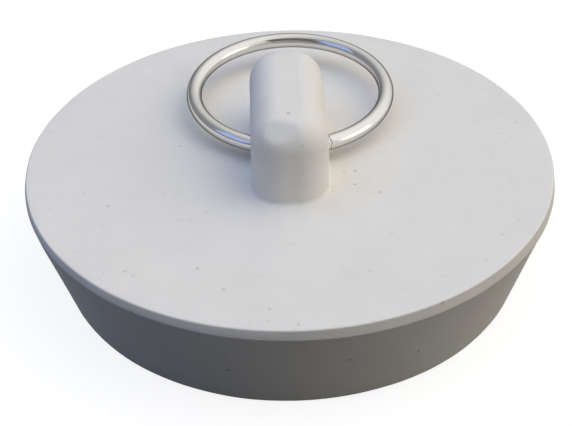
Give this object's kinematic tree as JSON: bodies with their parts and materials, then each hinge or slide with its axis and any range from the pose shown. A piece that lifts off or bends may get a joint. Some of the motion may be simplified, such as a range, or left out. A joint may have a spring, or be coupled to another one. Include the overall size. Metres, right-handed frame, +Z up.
{
  "type": "drain stopper",
  "caption": "Tapered rubber plug with a flat top, an upright lug and a wire pull ring that swings in the lug's eye.",
  "frame": {"origin": "centre of the foot, on the surface that the stopper stands on", "axes": "+Z up along the plug's axis; +X along the lug's eye, which is the ring's hinge; +Y the way the ring lies at rest"},
  "size_m": [0.0508, 0.0508, 0.019],
  "materials": {
    "white_rubber": "matte moulded white rubber",
    "ring_wire": "bright nickel-plated steel wire"
  },
  "bodies": {
    "plug": {"stopper_moulding": "white_rubber"},
    "ring": {"pull_ring": "ring_wire"}
  },
  "joints": [
    {"name": "ring_swing", "type": "hinge", "parent": "plug", "child": "ring", "pos_m": [0, 0, 0.0128], "axis": [1, 0, 0], "range_deg": [-4.2, 180.2]}
  ]
}
